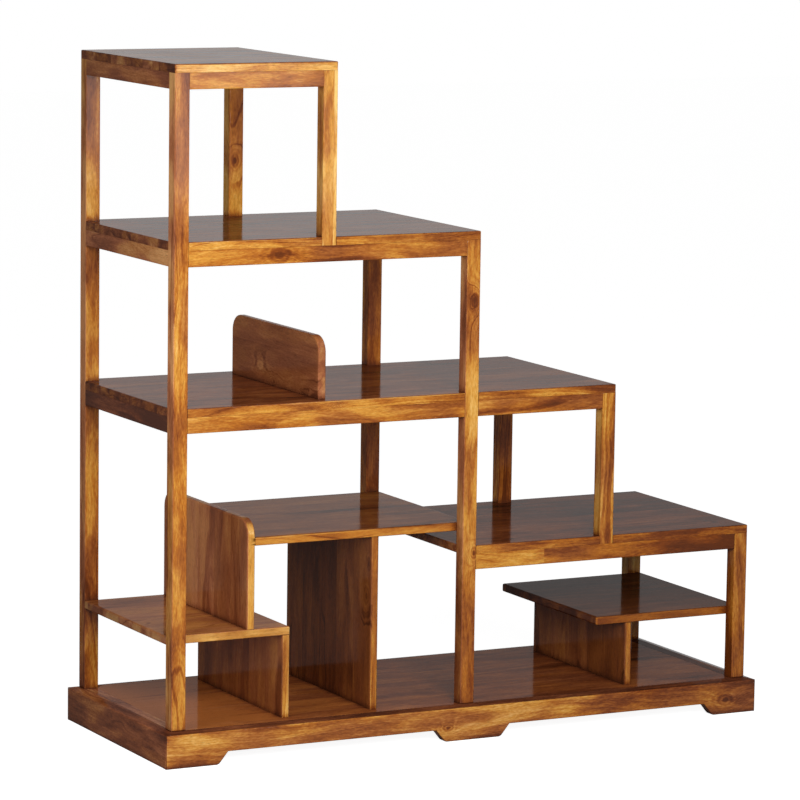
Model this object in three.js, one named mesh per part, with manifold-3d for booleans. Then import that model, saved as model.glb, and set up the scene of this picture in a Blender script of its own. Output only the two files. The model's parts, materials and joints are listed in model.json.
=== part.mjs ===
// Staircase bookshelf in solid hardwood. Four shelves climb like stairs on ten slim posts over a
// low plinth with three feet, and smaller shelves and dividers stand in the bays.
// Millimetres, +Z up. The front faces -Y and the tall side is at -X. The origin is on the floor
// in the middle of the plinth. Inside the file x = 0 is the left face of the left posts and
// y = 0 the front face of the front posts, and the last group moves that corner into place.
import * as THREE from 'three';
import { mergeVertices } from 'three/addons/utils/BufferGeometryUtils.js';
import Module from 'manifold-3d';

const wasm = await Module();
wasm.setup();

// Frame
const FRAME_DEPTH = 405;
const POST_WIDTH = 27;
const POST_DEPTH = 25;

// Stairs: how far each step reaches past the one above it, the low step's height above the floor,
// and how far each step rises above the one below it
const TOP_STEP_RUN = 304;
const SECOND_STEP_RUN = 282;
const THIRD_STEP_RUN = 278;
const LOW_STEP_RUN = 283;
const LOW_STEP_HEIGHT = 345;
const THIRD_STEP_RISE = 273;
const SECOND_STEP_RISE = 284;
const TOP_STEP_RISE = 300;

// Each step is a board on a frame of rails
const BOARD_THICKNESS = 15;
const RAIL_HEIGHT = 28;
const RAIL_THICKNESS = 20;

// Plinth
const PLINTH_HEIGHT = 62;
const PLINTH_OVERHANG = 16;
const SKIRT_THICKNESS = 20;
const PANEL_THICKNESS = 18;
const BATTEN_WIDTH = 20;
const BEVEL_WIDTH = 15;
const BEVEL_DROP = 3.5;
const LEFT_FOOT_WIDTH = 99;
const RIGHT_FOOT_WIDTH = 91;
const CENTRE_FOOT_WIDTH = 111;
const FOOT_HEIGHT = 22;
const FOOT_SLOPE = 18;
const FOOT_CORNER_RADIUS = 5;
const BLOCK_SIZE = 44;
const BLOCK_HEIGHT = 22;
const STRETCHER_WIDTH = 24;

// Inner shelves and dividers
const INNER_THICKNESS = 15;
const LEFT_SHELF_LENGTH = 236;
const LEFT_SUPPORT_HEIGHT = 146;
const LOW_DIVIDER_SETBACK = 68;
const LOW_DIVIDER_RISE = 31;
const MIDDLE_BAY_WIDTH = 156;
const MIDDLE_SHELF_CLEARANCE = 24;
const RIGHT_SHELF_LENGTH = 300;
const RIGHT_SUPPORT_SETBACK = 61;
const RIGHT_SUPPORT_HEIGHT = 115;
const SUPPORT_BACK_SETBACK = 14;
const HIGH_DIVIDER_OFFSET = 285;
const HIGH_DIVIDER_HEIGHT = 109;
const DIVIDER_CORNER_RADIUS = 30;

// Joinery
const TENON_LENGTH = 9;
const TENON_THICKNESS = 8;
const TENON_HEIGHT = 18;
const PIN_DIAMETER = 6;
const PIN_LENGTH = 8;
const SCREW_DIAMETER = 5;
const SCREW_HEAD_DIAMETER = 10;
const SCREW_HEAD_HEIGHT = 4;
const SCREW_POINT_LENGTH = 8;
const SCREW_IN_POST = 30;
const FIT = 0.25;
const MITRE_GAP = 0.3;

// Where dowel pins sit along an edge, as shares of its length
const PIN_PLACE_SHARES = [0.2, 0.8];

// Counts of sides for round things
const PIN_SIDES = 8;
const SCREW_SIDES = 12;
const CORNER_STEPS = 8;

// How far each step reaches to the right, and how high its top lies
const reach = { top: TOP_STEP_RUN };
reach.second = reach.top + SECOND_STEP_RUN;
reach.third = reach.second + THIRD_STEP_RUN;
reach.low = reach.third + LOW_STEP_RUN;
const level = { low: LOW_STEP_HEIGHT };
level.third = level.low + THIRD_STEP_RISE;
level.second = level.third + SECOND_STEP_RISE;
level.top = level.second + TOP_STEP_RISE;
const underside = (step) => level[step] - BOARD_THICKNESS;
const frameWidth = reach.low;

const QUARTER_TURN = Math.PI / 2;
const X = new THREE.Vector3(1, 0, 0);
const Y = new THREE.Vector3(0, 1, 0);
const Z = new THREE.Vector3(0, 0, 1);

// Colours of the lacquered wood and of the hidden fittings
const POST_COLOUR = 0xb87333;
const BOARD_COLOUR = 0x7a5138;
const RAIL_COLOUR = 0xb06c30;
const PLINTH_COLOUR = 0xa5682f;
const INNER_COLOUR = 0x8a5a32;
const HIDDEN_WOOD_COLOUR = 0xc9a36b;
const STEEL_COLOUR = 0xb8bcc0;

const lacquer = (color) => new THREE.MeshStandardMaterial({ color, roughness: 0.25, metalness: 0 });
const rawWood = (color) => new THREE.MeshStandardMaterial({ color, roughness: 0.8, metalness: 0 });
const steel = (color) => new THREE.MeshStandardMaterial({ color, roughness: 0.35, metalness: 1 });

// A closed geometry as a solid that can be cut and joined
function toSolid(geometry) {
  const bare = geometry.clone();
  bare.deleteAttribute('normal');
  bare.deleteAttribute('uv');
  const merged = mergeVertices(bare);
  return new wasm.Manifold(new wasm.Mesh({
    numProp: 3,
    vertProperties: merged.attributes.position.array,
    triVerts: new Uint32Array(merged.index.array),
  }));
}

function toGeometry(solid) {
  const { vertProperties, triVerts, numProp } = solid.getMesh();
  const geometry = new THREE.BufferGeometry();
  geometry.setAttribute('position', new THREE.BufferAttribute(vertProperties, numProp));
  geometry.setIndex(new THREE.BufferAttribute(triVerts, 1));
  geometry.computeVertexNormals();
  return geometry;
}

// Regions are boxes given by their low and high values along x, y and z
function region([x0, x1], [y0, y1], [z0, z1]) {
  return new THREE.Box3(new THREE.Vector3(x0, y0, z0), new THREE.Vector3(x1, y1, z1));
}

function boxSolid(space) {
  const size = space.getSize(new THREE.Vector3());
  const centre = space.getCenter(new THREE.Vector3());
  const geometry = new THREE.BoxGeometry(size.x, size.y, size.z);
  return toSolid(geometry.translate(centre.x, centre.y, centre.z));
}

const grown = (space, amount) => space.clone().expandByScalar(amount);

// The span of a given width that is centred between two values
const centred = (low, high, width) => [(low + high - width) / 2, (low + high + width) / 2];

function spaceOf(solid) {
  const { min, max } = solid.boundingBox();
  return new THREE.Box3(new THREE.Vector3(...min), new THREE.Vector3(...max));
}

// Outlines are extruded upwards, or drawn in y and z and extruded along x, or drawn in x and z and
// extruded towards the front
const DRAWN_FROM_THE_SIDE = new THREE.Matrix4().makeBasis(Y, Z, X);
const DRAWN_FROM_THE_FRONT = new THREE.Matrix4().makeBasis(X, Z, Y.clone().negate());

const extrude = (shape, depth) => new THREE.ExtrudeGeometry(shape, {
  depth,
  bevelEnabled: false,
  curveSegments: CORNER_STEPS,
});

// Every piece, and every tenon, dowel pin or screw that plugs into its neighbours. A tenon or a
// pin is joined to the piece that owns it, and what it enters is cut by its cutter, the same
// shape with the fit's clearance all round. A screw is a piece itself, so its plug only cuts.
const pieces = [];
const plugs = [];

function addPiece(name, group, material, solid) {
  pieces.push({ name, group, material, solid });
}

function addPlug(owner, cutter, body = null) {
  plugs.push({ owner, body, cutter, space: spaceOf(cutter) });
}

function addTenon(owner, space) {
  addPlug(owner, boxSolid(grown(space, FIT)), boxSolid(space));
}

// A tenon starts as deep inside its own piece as it reaches past the shoulder, so that they join
const tenonSpan = (shoulder) => [shoulder - TENON_LENGTH, shoulder + TENON_LENGTH];

// A round bar along an axis, as long to one side of its middle as to the other
function bar(axis, middle, radius, half) {
  const geometry = new THREE.CylinderGeometry(radius, radius, 2 * half, PIN_SIDES);
  if (axis === 'x') {
    geometry.rotateZ(QUARTER_TURN);
  } else if (axis === 'z') {
    geometry.rotateX(QUARTER_TURN);
  }
  return toSolid(geometry.translate(middle.x, middle.y, middle.z));
}

// A dowel glued half into the edge of its owner and half into the face that the edge meets
function addPin(owner, axis, point) {
  const radius = PIN_DIAMETER / 2;
  const bore = bar(axis, point, radius + FIT, PIN_LENGTH + FIT);
  addPlug(owner, bore, bar(axis, point, radius, PIN_LENGTH));
}

// Posts

// The right face of each column of posts, and the span between its two faces
const columnEnd = {
  left: POST_WIDTH,
  upper: reach.top,
  middle: reach.second,
  lower: reach.third,
  right: reach.low,
};
const columnSpan = (column) => [columnEnd[column] - POST_WIDTH, columnEnd[column]];
const postDepths = { front: [0, POST_DEPTH], back: [FRAME_DEPTH - POST_DEPTH, FRAME_DEPTH] };
const railDepths = {
  front: [0, RAIL_THICKNESS],
  back: [FRAME_DEPTH - RAIL_THICKNESS, FRAME_DEPTH],
};

// The upper and lower columns stand on the rails of the step underneath, the others on the plinth
const columns = [
  { column: 'left', foot: PLINTH_HEIGHT, head: underside('top') },
  { column: 'upper', foot: underside('second'), head: underside('top') },
  { column: 'middle', foot: PLINTH_HEIGHT, head: underside('second') },
  { column: 'lower', foot: underside('low'), head: underside('third') },
  { column: 'right', foot: PLINTH_HEIGHT, head: underside('low') },
];
const postGroup = new THREE.Group();
const postSpaces = [];

function addPost({ column, foot, head }, side) {
  const name = `post_${side}_${column}`;
  const space = region(columnSpan(column), postDepths[side], [foot, head]);
  postSpaces.push(space);
  if (foot > PLINTH_HEIGHT) {
    addTenon(name, region(
      centred(...columnSpan(column), TENON_HEIGHT),
      centred(...railDepths[side], TENON_THICKNESS),
      tenonSpan(foot),
    ));
  }
  addPiece(name, postGroup, lacquer(POST_COLOUR), boxSolid(space));
}

// Steps: rails tenoned between posts, and a notched board on their pins

const along = (low, high, share) => low + (high - low) * share;

// A rail runs along x or y. It has a tenon at each end and two pins up into the board.
function addRail(name, group, axis, space) {
  const { min, max } = space;
  const middle = space.getCenter(new THREE.Vector3());
  const height = centred(min.z, max.z, TENON_HEIGHT);
  for (const shoulder of [min[axis], max[axis]]) {
    const tenon = axis === 'x'
      ? region(tenonSpan(shoulder), centred(min.y, max.y, TENON_THICKNESS), height)
      : region(centred(min.x, max.x, TENON_THICKNESS), tenonSpan(shoulder), height);
    addTenon(name, tenon);
  }
  for (const share of PIN_PLACE_SHARES) {
    const point = new THREE.Vector3(middle.x, middle.y, max.z);
    point[axis] = along(min[axis], max[axis], share);
    addPin(name, 'z', point);
  }
  addPiece(name, group, lacquer(RAIL_COLOUR), boxSolid(space));
}

// The board is notched round the posts that pass it and covers the heads of the others
function addBoard(name, group, xSpan, heights) {
  const space = region(xSpan, [0, FRAME_DEPTH], heights);
  const passing = postSpaces.filter((post) => grown(post, -FIT).intersectsBox(space));
  const notches = passing.map((post) => boxSolid(grown(post, FIT)));
  const solid = notches.reduce((rest, notch) => rest.subtract(notch), boxSolid(space));
  addPiece(name, group, lacquer(BOARD_COLOUR), solid);
}

// Each step's bays run between two columns and have a front and a back rail. Its side rails stand
// in line with the columns named here, and the low step has none under its left end.
const steps = [
  { step: 'top', bays: { '': ['left', 'upper'] }, left: 'left', right: 'upper' },
  { step: 'second', bays: { '': ['left', 'middle'] }, left: 'left', right: 'middle' },
  {
    step: 'third',
    bays: { _left: ['left', 'middle'], _right: ['middle', 'lower'] },
    left: 'left',
    right: 'lower',
  },
  { step: 'low', bays: { '': ['middle', 'right'] }, right: 'right' },
];

function addStep({ step, bays, left, right }) {
  const group = new THREE.Group();
  const heights = [underside(step) - RAIL_HEIGHT, underside(step)];
  for (const [suffix, [from, to]] of Object.entries(bays)) {
    const length = [columnSpan(from)[1], columnSpan(to)[0]];
    for (const side of ['front', 'back']) {
      const space = region(length, railDepths[side], heights);
      addRail(`${step}_${side}_rail${suffix}`, group, 'x', space);
    }
  }
  const between = [POST_DEPTH, FRAME_DEPTH - POST_DEPTH];
  if (left) {
    const thickness = [columnSpan(left)[0], columnSpan(left)[0] + RAIL_THICKNESS];
    addRail(`${step}_left_rail`, group, 'y', region(thickness, between, heights));
  }
  const thickness = [columnSpan(right)[1] - RAIL_THICKNESS, columnSpan(right)[1]];
  addRail(`${step}_right_rail`, group, 'y', region(thickness, between, heights));
  const [[firstColumn]] = Object.values(bays);
  const start = columnSpan(firstColumn)[0];
  addBoard(`${step}_board`, group, [start, reach[step]], [underside(step), level[step]]);
  return group;
}

// Inner shelves and dividers, all between the front and back posts

const innerDepths = [POST_DEPTH, FRAME_DEPTH - POST_DEPTH];
const shortDepths = [innerDepths[0], innerDepths[1] - SUPPORT_BACK_SETBACK];
const innerGroup = new THREE.Group();

function addInnerBoard(name, xSpan, zSpan, depths = innerDepths) {
  addPiece(name, innerGroup, lacquer(INNER_COLOUR), boxSolid(region(xSpan, depths, zSpan)));
}

// An upright pinned at its foot, and at its head too where a shelf lies on it
function pinUpright(name, left, joints) {
  for (const share of PIN_PLACE_SHARES) {
    for (const height of joints) {
      const centreX = left + INNER_THICKNESS / 2;
      addPin(name, 'z', new THREE.Vector3(centreX, along(...innerDepths, share), height));
    }
  }
}

function addSupport(name, left, foot, head, depths) {
  addInnerBoard(name, [left, left + INNER_THICKNESS], [foot, head], depths);
  pinUpright(name, left, [foot, head]);
}

// A shelf pinned into the front and back posts of the column at one of its ends
function addShelf(name, xSpan, height, column) {
  addInnerBoard(name, xSpan, [height, height + INNER_THICKNESS]);
  const [left, right] = columnSpan(column);
  for (const y of innerDepths) {
    addPin(name, 'y', new THREE.Vector3((left + right) / 2, y, height + INNER_THICKNESS / 2));
  }
}

// An upright whose two top corners are rounded
function addRoundedDivider(name, left, foot, head) {
  const [front, back] = innerDepths;
  const radius = DIVIDER_CORNER_RADIUS;
  const outline = new THREE.Shape();
  outline.moveTo(front, foot);
  outline.lineTo(back, foot);
  outline.lineTo(back, head - radius);
  outline.absarc(back - radius, head - radius, radius, 0, QUARTER_TURN, false);
  outline.absarc(front + radius, head - radius, radius, QUARTER_TURN, 2 * QUARTER_TURN, false);
  outline.closePath();
  const geometry = extrude(outline, INNER_THICKNESS).applyMatrix4(DRAWN_FROM_THE_SIDE);
  addPiece(name, innerGroup, lacquer(INNER_COLOUR), toSolid(geometry.translate(left, 0, 0)));
  pinUpright(name, left, [foot]);
}

// How high the underside of each inner shelf lies
const leftShelfHeight = PLINTH_HEIGHT + LEFT_SUPPORT_HEIGHT;
const middleShelfHeight = level.low + MIDDLE_SHELF_CLEARANCE;
const rightShelfHeight = PLINTH_HEIGHT + RIGHT_SUPPORT_HEIGHT;

function addLeftBay() {
  const supportLeft = LEFT_SHELF_LENGTH - INNER_THICKNESS;
  addShelf('lower_left_shelf', [0, LEFT_SHELF_LENGTH], leftShelfHeight, 'left');
  addSupport('lower_left_support', supportLeft, PLINTH_HEIGHT, leftShelfHeight, innerDepths);
}

// The middle shelf runs from the face of the lower divider to the middle posts
function addMiddleBay() {
  const start = LEFT_SHELF_LENGTH - LOW_DIVIDER_SETBACK;
  const dividerFoot = leftShelfHeight + INNER_THICKNESS;
  const dividerHead = middleShelfHeight + INNER_THICKNESS + LOW_DIVIDER_RISE;
  const supportLeft = LEFT_SHELF_LENGTH + MIDDLE_BAY_WIDTH;
  addShelf('middle_shelf', [start, columnEnd.middle], middleShelfHeight, 'middle');
  addSupport('middle_support', supportLeft, PLINTH_HEIGHT, middleShelfHeight, shortDepths);
  addRoundedDivider('lower_divider', start - INNER_THICKNESS, dividerFoot, dividerHead);
  for (const share of PIN_PLACE_SHARES) {
    const height = middleShelfHeight + INNER_THICKNESS / 2;
    addPin('middle_shelf', 'x', new THREE.Vector3(start, along(...innerDepths, share), height));
  }
}

function addRightBay() {
  const start = frameWidth - RIGHT_SHELF_LENGTH;
  const supportLeft = start + RIGHT_SUPPORT_SETBACK;
  addShelf('lower_right_shelf', [start, frameWidth], rightShelfHeight, 'right');
  addSupport('lower_right_support', supportLeft, PLINTH_HEIGHT, rightShelfHeight, shortDepths);
}

function addUpperDivider() {
  const head = level.third + HIGH_DIVIDER_HEIGHT;
  addRoundedDivider('upper_divider', HIGH_DIVIDER_OFFSET, level.third, head);
}

// Plinth

const plinthGroup = new THREE.Group();
const plinthX = [-PLINTH_OVERHANG, frameWidth + PLINTH_OVERHANG];
const plinthY = [-PLINTH_OVERHANG, FRAME_DEPTH + PLINTH_OVERHANG];
const inset = ([low, high], amount) => [low + amount, high - amount];
const panelHeights = [PLINTH_HEIGHT - PANEL_THICKNESS, PLINTH_HEIGHT];
const blockHeights = [panelHeights[0] - BLOCK_HEIGHT, panelHeights[0]];

// A foot's corner, rounded between the straight lines on either side of it
function roundedCorner(outline, from, corner, to) {
  const back = from.clone().sub(corner).setLength(FOOT_CORNER_RADIUS).add(corner);
  const ahead = to.clone().sub(corner).setLength(FOOT_CORNER_RADIUS).add(corner);
  outline.lineTo(back.x, back.y);
  outline.quadraticCurveTo(corner.x, corner.y, ahead.x, ahead.y);
}

// The skirt's face: three feet with sloping sides below a straight band, the centre foot midway
// between the two at the ends
function footedOutline(length) {
  const rightFoot = length - RIGHT_FOOT_WIDTH;
  const centre = (LEFT_FOOT_WIDTH + rightFoot) / 2;
  const half = CENTRE_FOOT_WIDTH / 2;
  const points = [
    [0, PLINTH_HEIGHT],
    [0, 0, 'round'],
    [LEFT_FOOT_WIDTH, 0, 'round'],
    [LEFT_FOOT_WIDTH + FOOT_SLOPE, FOOT_HEIGHT],
    [centre - half - FOOT_SLOPE, FOOT_HEIGHT],
    [centre - half, 0, 'round'],
    [centre + half, 0, 'round'],
    [centre + half + FOOT_SLOPE, FOOT_HEIGHT],
    [rightFoot - FOOT_SLOPE, FOOT_HEIGHT],
    [rightFoot, 0, 'round'],
    [length, 0, 'round'],
    [length, PLINTH_HEIGHT],
  ];
  const places = points.map(([x, y]) => new THREE.Vector2(x, y));
  const outline = new THREE.Shape();
  outline.moveTo(places[0].x, places[0].y);
  for (let index = 1; index < points.length; index += 1) {
    if (points[index][2] === 'round') {
      roundedCorner(outline, places[index - 1], places[index], places[index + 1]);
    } else {
      outline.lineTo(places[index].x, places[index].y);
    }
  }
  outline.closePath();
  return outline;
}

function plainOutline(length) {
  return new THREE.Shape([
    new THREE.Vector2(0, 0),
    new THREE.Vector2(length, 0),
    new THREE.Vector2(length, PLINTH_HEIGHT),
    new THREE.Vector2(0, PLINTH_HEIGHT),
  ]);
}

// A skirt lies along x with its outer face at y = 0. Its face outline, its mitred plan and its
// bevelled section are each extruded right through, and the skirt is what they share.
function skirtSolid(length, outline) {
  const face = extrude(outline, SKIRT_THICKNESS).applyMatrix4(DRAWN_FROM_THE_FRONT);
  const gap = MITRE_GAP / 2;
  const plan = new THREE.Shape([
    new THREE.Vector2(gap, 0),
    new THREE.Vector2(length - gap, 0),
    new THREE.Vector2(length - gap - SKIRT_THICKNESS, SKIRT_THICKNESS),
    new THREE.Vector2(gap + SKIRT_THICKNESS, SKIRT_THICKNESS),
  ]);
  const section = new THREE.Shape([
    new THREE.Vector2(0, 0),
    new THREE.Vector2(SKIRT_THICKNESS, 0),
    new THREE.Vector2(SKIRT_THICKNESS, PLINTH_HEIGHT),
    new THREE.Vector2(BEVEL_WIDTH, PLINTH_HEIGHT),
    new THREE.Vector2(0, PLINTH_HEIGHT - BEVEL_DROP),
  ]);
  return toSolid(face.translate(0, SKIRT_THICKNESS, 0))
    .intersect(toSolid(extrude(plan, PLINTH_HEIGHT)))
    .intersect(toSolid(extrude(section, length).applyMatrix4(DRAWN_FROM_THE_SIDE)));
}

// The mesh is turned about its own corner, which goes to the given place
function addSkirt(name, length, outline, [x, y], quarterTurns) {
  const skirt = new THREE.Mesh(toGeometry(skirtSolid(length, outline)), lacquer(PLINTH_COLOUR));
  skirt.name = name;
  skirt.position.set(x, y, 0);
  skirt.rotation.z = quarterTurns * QUARTER_TURN;
  plinthGroup.add(skirt);
}

function addSkirts() {
  const [left, right] = plinthX;
  const [front, back] = plinthY;
  const length = right - left;
  const depth = back - front;
  addSkirt('plinth_front_skirt', length, footedOutline(length), [left, front], 0);
  addSkirt('plinth_right_skirt', depth, plainOutline(depth), [right, front], 1);
  addSkirt('plinth_back_skirt', length, footedOutline(length), [right, back], 2);
  addSkirt('plinth_left_skirt', depth, plainOutline(depth), [left, back], 3);
}

function addPlinthPanel() {
  const [left, right] = inset(plinthX, SKIRT_THICKNESS + FIT);
  const depth = inset(plinthY, SKIRT_THICKNESS + FIT);
  const battens = {
    plinth_left_batten: [left, left + BATTEN_WIDTH],
    plinth_right_batten: [right - BATTEN_WIDTH, right],
  };
  for (const [name, width] of Object.entries(battens)) {
    const solid = boxSolid(region(width, depth, panelHeights));
    addPiece(name, plinthGroup, lacquer(PLINTH_COLOUR), solid);
  }
  const panel = region([left + BATTEN_WIDTH, right - BATTEN_WIDTH], depth, panelHeights);
  addPiece('plinth_panel', plinthGroup, lacquer(BOARD_COLOUR), boxSolid(panel));
}

// Glue blocks below the six posts that reach the plinth, and the stretcher of the middle pair
function addPlinthBlocks() {
  const [left, right] = inset(plinthX, SKIRT_THICKNESS + FIT);
  const [front, back] = inset(plinthY, SKIRT_THICKNESS + FIT);
  const places = {
    left: [left, left + BLOCK_SIZE],
    middle: centred(...columnSpan('middle'), BLOCK_SIZE),
    right: [right - BLOCK_SIZE, right],
  };
  const depths = { front: [front, front + BLOCK_SIZE], back: [back - BLOCK_SIZE, back] };
  for (const [place, width] of Object.entries(places)) {
    for (const [side, depth] of Object.entries(depths)) {
      const solid = boxSolid(region(width, depth, blockHeights));
      addPiece(`plinth_block_${side}_${place}`, plinthGroup, rawWood(HIDDEN_WOOD_COLOUR), solid);
    }
  }
  const stretcher = region(
    centred(...columnSpan('middle'), STRETCHER_WIDTH),
    [depths.front[1], depths.back[0]],
    blockHeights,
  );
  addPiece('plinth_stretcher', plinthGroup, rawWood(HIDDEN_WOOD_COLOUR), boxSolid(stretcher));
}

// Screws

const screwGroup = new THREE.Group();

// A countersunk wood screw, head down, from the underside of its block up into the post
function screwSolid(x, y, clearance) {
  const length = BLOCK_HEIGHT + PANEL_THICKNESS + SCREW_IN_POST;
  const headRadius = SCREW_HEAD_DIAMETER / 2 + clearance;
  const shankRadius = SCREW_DIAMETER / 2 + clearance;
  const profile = [
    new THREE.Vector2(0, -clearance),
    new THREE.Vector2(headRadius, -clearance),
    new THREE.Vector2(shankRadius, SCREW_HEAD_HEIGHT),
    new THREE.Vector2(shankRadius, length - SCREW_POINT_LENGTH + clearance),
    new THREE.Vector2(0, length + clearance),
  ];
  const geometry = new THREE.LatheGeometry(profile, SCREW_SIDES);
  geometry.rotateX(QUARTER_TURN);
  return toSolid(geometry.translate(x, y, blockHeights[0]));
}

function addScrew({ column }, side) {
  const name = `screw_${side}_${column}`;
  const [left, right] = columnSpan(column);
  const [front, back] = postDepths[side];
  const [x, y] = [(left + right) / 2, (front + back) / 2];
  addPiece(name, screwGroup, steel(STEEL_COLOUR), screwSolid(x, y, 0));
  addPlug(name, screwSolid(x, y, FIT));
}

// Assembly

for (const column of columns) {
  for (const side of ['front', 'back']) {
    addPost(column, side);
    if (column.foot === PLINTH_HEIGHT) {
      addScrew(column, side);
    }
  }
}
const stepGroups = steps.map(addStep);
addLeftBay();
addMiddleBay();
addRightBay();
addUpperDivider();
addPlinthPanel();
addPlinthBlocks();
addSkirts();

// Each piece gains its own tenons and pins and is cut by those of its neighbours, and its mesh
// sits at its own low corner
for (const { name, group, material, solid } of pieces) {
  const own = plugs.filter(({ owner, body }) => owner === name && body);
  const whole = own.reduce((sum, { body }) => sum.add(body), solid);
  const space = spaceOf(whole);
  const entering = plugs.filter((plug) => plug.owner !== name && plug.space.intersectsBox(space));
  const cut = entering.reduce((rest, { cutter }) => rest.subtract(cutter), whole);
  const geometry = toGeometry(cut);
  geometry.translate(-space.min.x, -space.min.y, -space.min.z);
  const mesh = new THREE.Mesh(geometry, material);
  mesh.name = name;
  mesh.position.copy(space.min);
  group.add(mesh);
}

const bookshelf = new THREE.Group();
bookshelf.add(plinthGroup, postGroup, ...stepGroups, innerGroup, screwGroup);
bookshelf.position.set(-frameWidth / 2, -FRAME_DEPTH / 2, 0);

export default bookshelf;
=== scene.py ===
import json
import math
import random

import bmesh
import bpy
from mathutils import Matrix, Vector
from mathutils.bvhtree import BVHTree


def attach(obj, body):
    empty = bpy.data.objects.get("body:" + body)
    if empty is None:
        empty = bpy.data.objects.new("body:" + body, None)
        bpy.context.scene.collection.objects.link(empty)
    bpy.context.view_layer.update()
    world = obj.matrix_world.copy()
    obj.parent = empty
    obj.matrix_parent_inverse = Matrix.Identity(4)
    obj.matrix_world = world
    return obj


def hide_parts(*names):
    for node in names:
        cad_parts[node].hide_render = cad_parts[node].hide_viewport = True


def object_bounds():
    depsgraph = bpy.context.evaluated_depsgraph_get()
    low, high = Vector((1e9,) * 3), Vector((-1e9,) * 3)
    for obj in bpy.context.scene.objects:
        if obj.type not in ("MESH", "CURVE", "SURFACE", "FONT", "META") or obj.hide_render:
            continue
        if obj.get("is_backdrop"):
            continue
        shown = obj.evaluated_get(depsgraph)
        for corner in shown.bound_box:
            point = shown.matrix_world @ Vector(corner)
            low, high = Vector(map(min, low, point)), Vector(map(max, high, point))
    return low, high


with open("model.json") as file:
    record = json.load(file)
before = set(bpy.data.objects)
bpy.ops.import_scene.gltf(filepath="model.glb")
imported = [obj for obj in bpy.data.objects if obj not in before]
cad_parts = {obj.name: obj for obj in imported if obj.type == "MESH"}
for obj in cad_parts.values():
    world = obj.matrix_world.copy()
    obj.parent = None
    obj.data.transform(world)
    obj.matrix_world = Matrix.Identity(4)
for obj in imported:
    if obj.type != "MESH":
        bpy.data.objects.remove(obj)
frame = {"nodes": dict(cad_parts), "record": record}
cad_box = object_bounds()

# The looks of the staircase bookshelf. Every wooden piece is remade from its solid with eased edges
# and a grain of its own. Lengths are in metres.

AXES = "xyz"
MM = 0.001

# Which way the wood of a piece runs: along the grain, across it and through the thickness. The
# first name that is part of the piece's name counts.
GRAIN_AXES = [
    ("post_", "zxy"),
    ("front_rail", "xzy"),
    ("back_rail", "xzy"),
    ("_rail", "yzx"),
    ("front_skirt", "xzy"),
    ("back_skirt", "xzy"),
    ("_skirt", "yzx"),
    ("batten", "yxz"),
    ("stretcher", "yxz"),
    ("upper_divider", "yzx"),
    ("divider", "zyx"),
    ("support", "zyx"),
    ("", "xyz"),
]

# Rounding of the open edges, also of the inner boards, and the share of it that is left where two
# pieces meet flush, as a hairline. Flat sides count this much when the shading is smoothed.
EASE = 1.9 * MM
INNER_EASE = 3.6 * MM
SEAM_SHARE = 0.16
EASE_SEGMENTS = 3
FLAT_WEIGHT = 100

# Angles between two faces: an edge is real from the first on and the tip of a mitre from the
# second on. Up to the third, two faces are one flat side, and up to the last they are joined.
SHARP_ANGLE = math.radians(25)
MITRE_ANGLE = math.radians(100)
FLAT_ANGLE = math.radians(0.5)
ONE_SIDE_ANGLE = math.radians(1)

# Places closer than this are one place. Planes and lines are told apart by digits of a metre.
SAME_PLACE = 0.002 * MM
DIGITS = 5
FINE_DIGITS = 6

# How far apart two blocks still touch, and how a point's ray runs on past each face
TOUCH = 1 * MM
RAY_STEP = 0.01 * MM
RAY_DIRECTION = Vector((0.31, 0.53, 0.79)).normalized()

# How far outside a face and in from its edge the search for a neighbour looks
PROBE_OUT = 0.7 * MM
PROBE_IN = 1.2 * MM

# How far a cut stays from a block's ends and from the cut before it
LEAST_CUT = 4 * MM

# The plinth's upright corners, rounded over both of the skirts that meet there by cuts at angles
CORNER_RADIUS = 4 * MM
CORNER_CUTS = [math.radians(degrees) for degrees in (22.5, 45.0, 67.5)]


# Shapes

def grain_axes(name):
    """The frame's axes that run along a piece's grain, across it and through the thickness."""
    letters = next(letters for part, letters in GRAIN_AXES if part in name)
    return [AXES.index(letter) for letter in letters]


def unit(axis):
    return Vector([float(i == axis) for i in range(3)])


def block(mesh):
    """Low and high corner of a piece's main block, without its tenons and pins: the planes that
    hold the most area on each side."""
    area = {}
    for face in mesh.polygons:
        for axis in range(3):
            if abs(face.normal[axis]) > math.cos(SHARP_ANGLE):
                key = (axis, face.normal[axis] > 0, round(face.center[axis], DIGITS))
                area[key] = area.get(key, 0) + face.area
    corners = []
    for side in (False, True):
        corner = []
        for axis in range(3):
            planes = {k[2]: a for k, a in area.items() if k[:2] == (axis, side)}
            outmost = (min, max)[side](v.co[axis] for v in mesh.vertices)
            corner.append(max(planes, key=planes.get, default=outmost))
        corners.append(Vector(corner))
    return corners


def ray_tree(mesh):
    """What finds the faces of a mesh that a ray meets."""
    return BVHTree.FromPolygons([v.co for v in mesh.vertices], [p.vertices for p in mesh.polygons])


# The wooden pieces, which are all but the screws
solids = {name: node.data for name, node in frame["nodes"].items() if "screw" not in name}
blocks = {name: block(mesh) for name, mesh in solids.items()}
ray_trees = {name: ray_tree(mesh) for name, mesh in solids.items()}


def inside(point, name):
    """Whether a point lies in a solid: an odd count of faces in one direction."""
    count = 0
    start = point
    while True:
        hit = ray_trees[name].ray_cast(start, RAY_DIRECTION)[0]
        if hit is None:
            return count % 2 == 1
        count += 1
        start = hit + RAY_DIRECTION * RAY_STEP


def near(name):
    """The pieces whose blocks touch this one's."""
    low, high = blocks[name]
    return [
        other for other, (low2, high2) in blocks.items()
        if other != name
        and all(low[i] - TOUCH < high2[i] and low2[i] - TOUCH < high[i] for i in range(3))
    ]


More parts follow.
